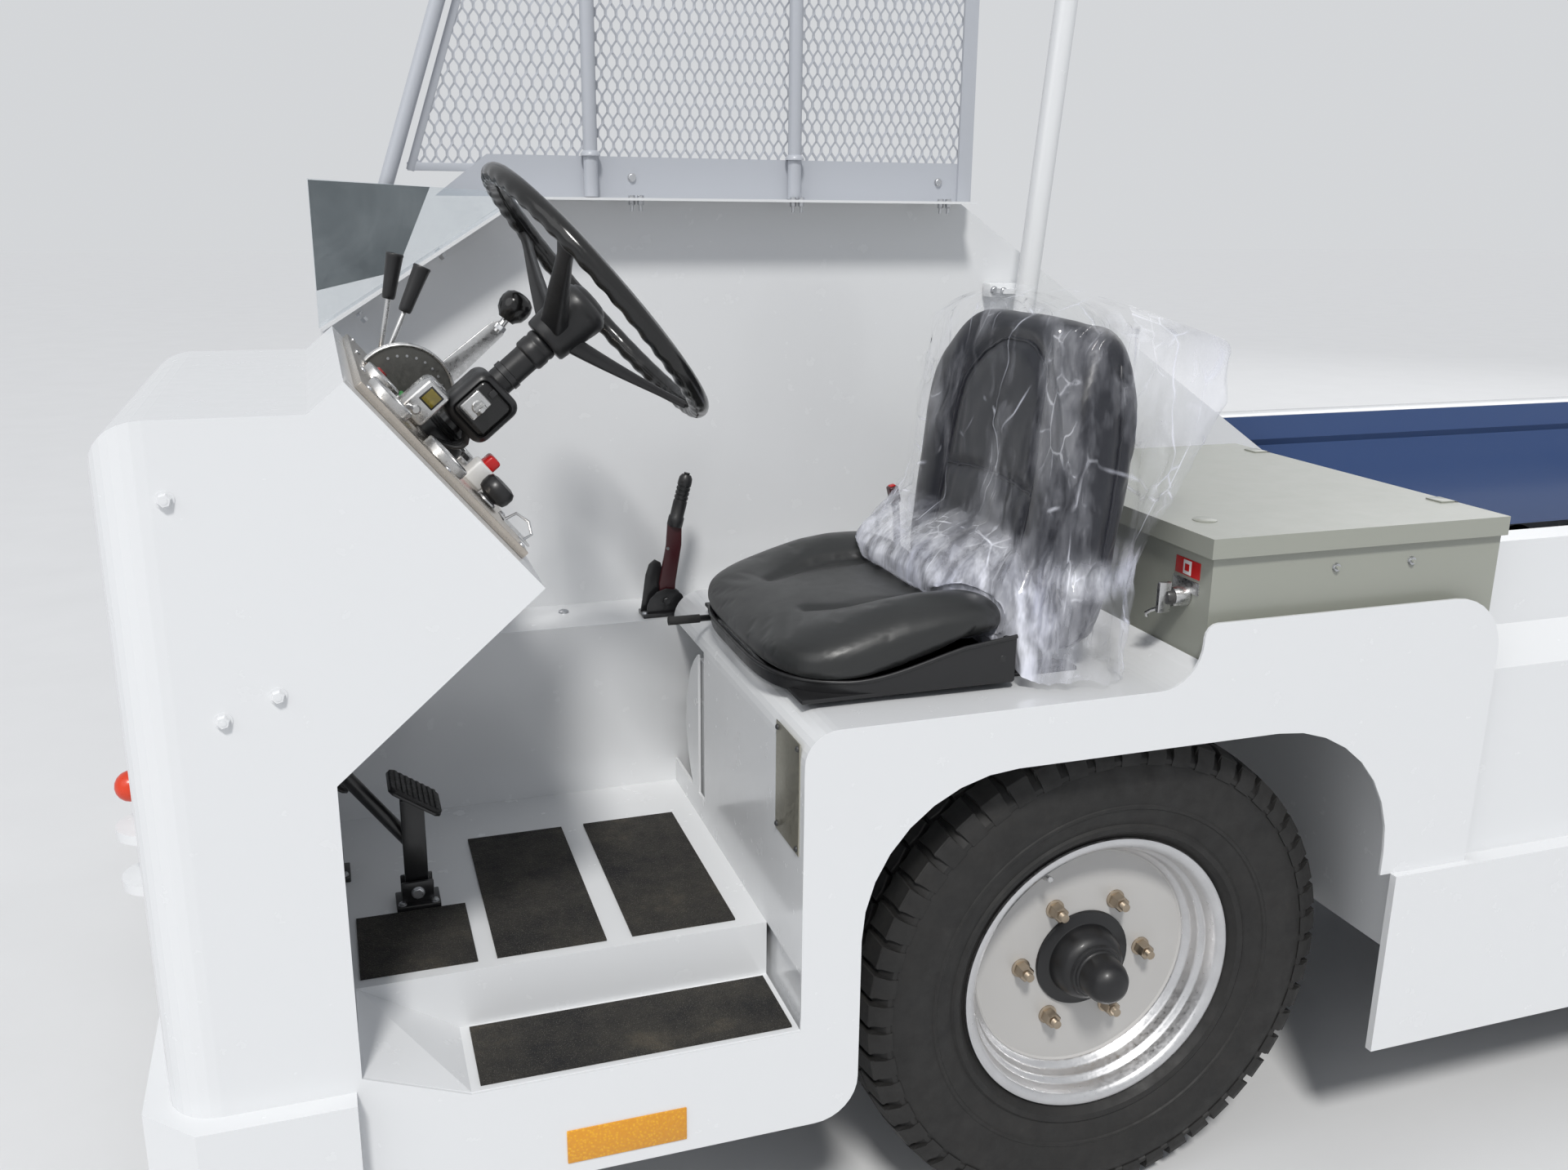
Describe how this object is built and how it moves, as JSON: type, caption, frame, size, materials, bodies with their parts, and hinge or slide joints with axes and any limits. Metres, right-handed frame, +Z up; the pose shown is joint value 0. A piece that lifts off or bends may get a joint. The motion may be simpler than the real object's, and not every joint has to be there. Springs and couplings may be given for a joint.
{
  "type": "self-propelled baggage belt loader",
  "caption": "Airport baggage belt loader with an open driver's station at the front left, a mesh guard, and a lifting conveyor boom along its right side.",
  "frame": {"origin": "on the ground under the middle of the bounding box", "axes": "+X forward, +Y to the vehicle's left, +Z up"},
  "size_m": [6.5, 2.056, 2.4217],
  "materials": {
    "body_white": "gloss",
    "guard_grey": "satin",
    "box_grey": "satin",
    "boom_blue": "gloss",
    "frame_grey": "satin",
    "black_metal": "satin",
    "black_plastic": "matte",
    "step_grit": "gritty",
    "clear_screen": "clear",
    "screen_grey": "matte",
    "steel": "brushed",
    "rim_silver": "satin",
    "seat_vinyl": "grained",
    "tyre": "matte",
    "rubber": "matte",
    "beacon_amber": "clear",
    "lamp_clear": "clear"
  },
  "bodies": {
    "chassis": {"chassis_frame": "frame_grey", "nose_cowl": "body_white", "front_bumper": "body_white", "front_apron": "body_white", "cab_floor": "body_white", "step_mats": "step_grit", "side_skin_left": "body_white", "side_skin_right": "body_white", "seat_box": "body_white", "wheel_arches": "body_white", "divider": "body_white", "guard_frame": "guard_grey", "guard_mesh": "guard_grey", "side_screen": "clear_screen", "screen_plate": "screen_grey", "dash_panel": "steel", "steering_column": "black_plastic", "control_levers": "black_plastic", "handbrake": "black_metal", "pedals": "black_metal", "seat_base": "black_metal", "seat_cushion": "seat_vinyl", "seat_back": "seat_vinyl", "electrical_box": "box_grey", "beacon_mast": "body_white", "beacon": "beacon_amber", "rear_body_left": "body_white", "rear_panel": "body_white", "deck_plate": "body_white", "power_unit": "black_metal", "front_hitch": "steel", "rear_hitch": "frame_grey", "lamps": "lamp_clear", "front_axle": "black_metal", "rear_axle": "black_metal"},
    "steering_wheel": {"steering_wheel": "black_plastic"},
    "box_lid": {"electrical_lid": "box_grey"},
    "knuckle_left": {"knuckle_left": "black_metal"},
    "knuckle_right": {"knuckle_right": "black_metal"},
    "wheel_front_left": {"tyre_front_left": "tyre", "rim_front_left": "rim_silver"},
    "wheel_front_right": {"tyre_front_right": "tyre", "rim_front_right": "rim_silver"},
    "wheel_rear_left": {"tyre_rear_left": "tyre", "rim_rear_left": "rim_silver"},
    "wheel_rear_right": {"tyre_rear_right": "tyre", "rim_rear_right": "rim_silver"},
    "boom": {"boom_frame": "boom_blue", "boom_pivot": "boom_blue", "boom_belt": "rubber", "boom_buffer": "rubber"},
    "lift_barrels": {"lift_barrels": "black_metal"},
    "lift_rods": {"lift_rods": "steel"}
  },
  "joints": [
    {"name": "steer_left", "type": "hinge", "parent": "chassis", "child": "knuckle_left", "pos_m": [1.82, 0.632, 0.382], "axis": [0, 0, 1], "range_deg": [-28, 28]},
    {"name": "steer_right", "type": "hinge", "parent": "chassis", "child": "knuckle_right", "pos_m": [1.82, -0.632, 0.382], "axis": [0, 0, 1], "range_deg": [-28, 28]},
    {"name": "steering_wheel_turn", "type": "hinge", "parent": "chassis", "child": "steering_wheel", "pos_m": [2.50399, 0.7, 1.36357], "axis": [-0.766, 0, 0.6428], "range_deg": [-448, 448]},
    {"name": "spin_front_left", "type": "hinge", "parent": "knuckle_left", "child": "wheel_front_left", "pos_m": [1.82, 0.864, 0.382], "axis": [0, 1, 0], "continuous": true},
    {"name": "spin_front_right", "type": "hinge", "parent": "knuckle_right", "child": "wheel_front_right", "pos_m": [1.82, -0.864, 0.382], "axis": [0, 1, 0], "continuous": true},
    {"name": "spin_rear_left", "type": "hinge", "parent": "chassis", "child": "wheel_rear_left", "pos_m": [-1.18, 0.864, 0.382], "axis": [0, 1, 0], "continuous": true},
    {"name": "spin_rear_right", "type": "hinge", "parent": "chassis", "child": "wheel_rear_right", "pos_m": [-1.18, -0.864, 0.382], "axis": [0, 1, 0], "continuous": true},
    {"name": "lid_hinge", "type": "hinge", "parent": "chassis", "child": "box_lid", "pos_m": [1.243, 0.6675, 1.057], "axis": [0, -1, 0], "range_deg": [0, 95]},
    {"name": "boom_lift", "type": "hinge", "parent": "chassis", "child": "boom", "pos_m": [-2.18, -0.4, 0.728], "axis": [0, -1, 0], "range_deg": [0, 20]},
    {"name": "lift_barrel_tilt", "type": "hinge", "parent": "chassis", "child": "lift_barrels", "pos_m": [-0.73, -0.09, 0.43], "axis": [0, -1, 0], "range_deg": [0, 36.8]},
    {"name": "lift_rod_slide", "type": "slide", "parent": "lift_barrels", "child": "lift_rods", "axis": [0.9552, 0, 0.2961], "range_m": [0, 0.3817]}
  ],
  "couplings": [
    {"joint": "steer_right", "follows": "steer_left", "ratio": 1},
    {"joint": "steering_wheel_turn", "follows": "steer_left", "ratio": 16},
    {"joint": "lift_barrel_tilt", "follows": "boom_lift", "ratio": 1.8151},
    {"joint": "lift_rod_slide", "follows": "boom_lift", "m_per_rad": 1.0879}
  ]
}
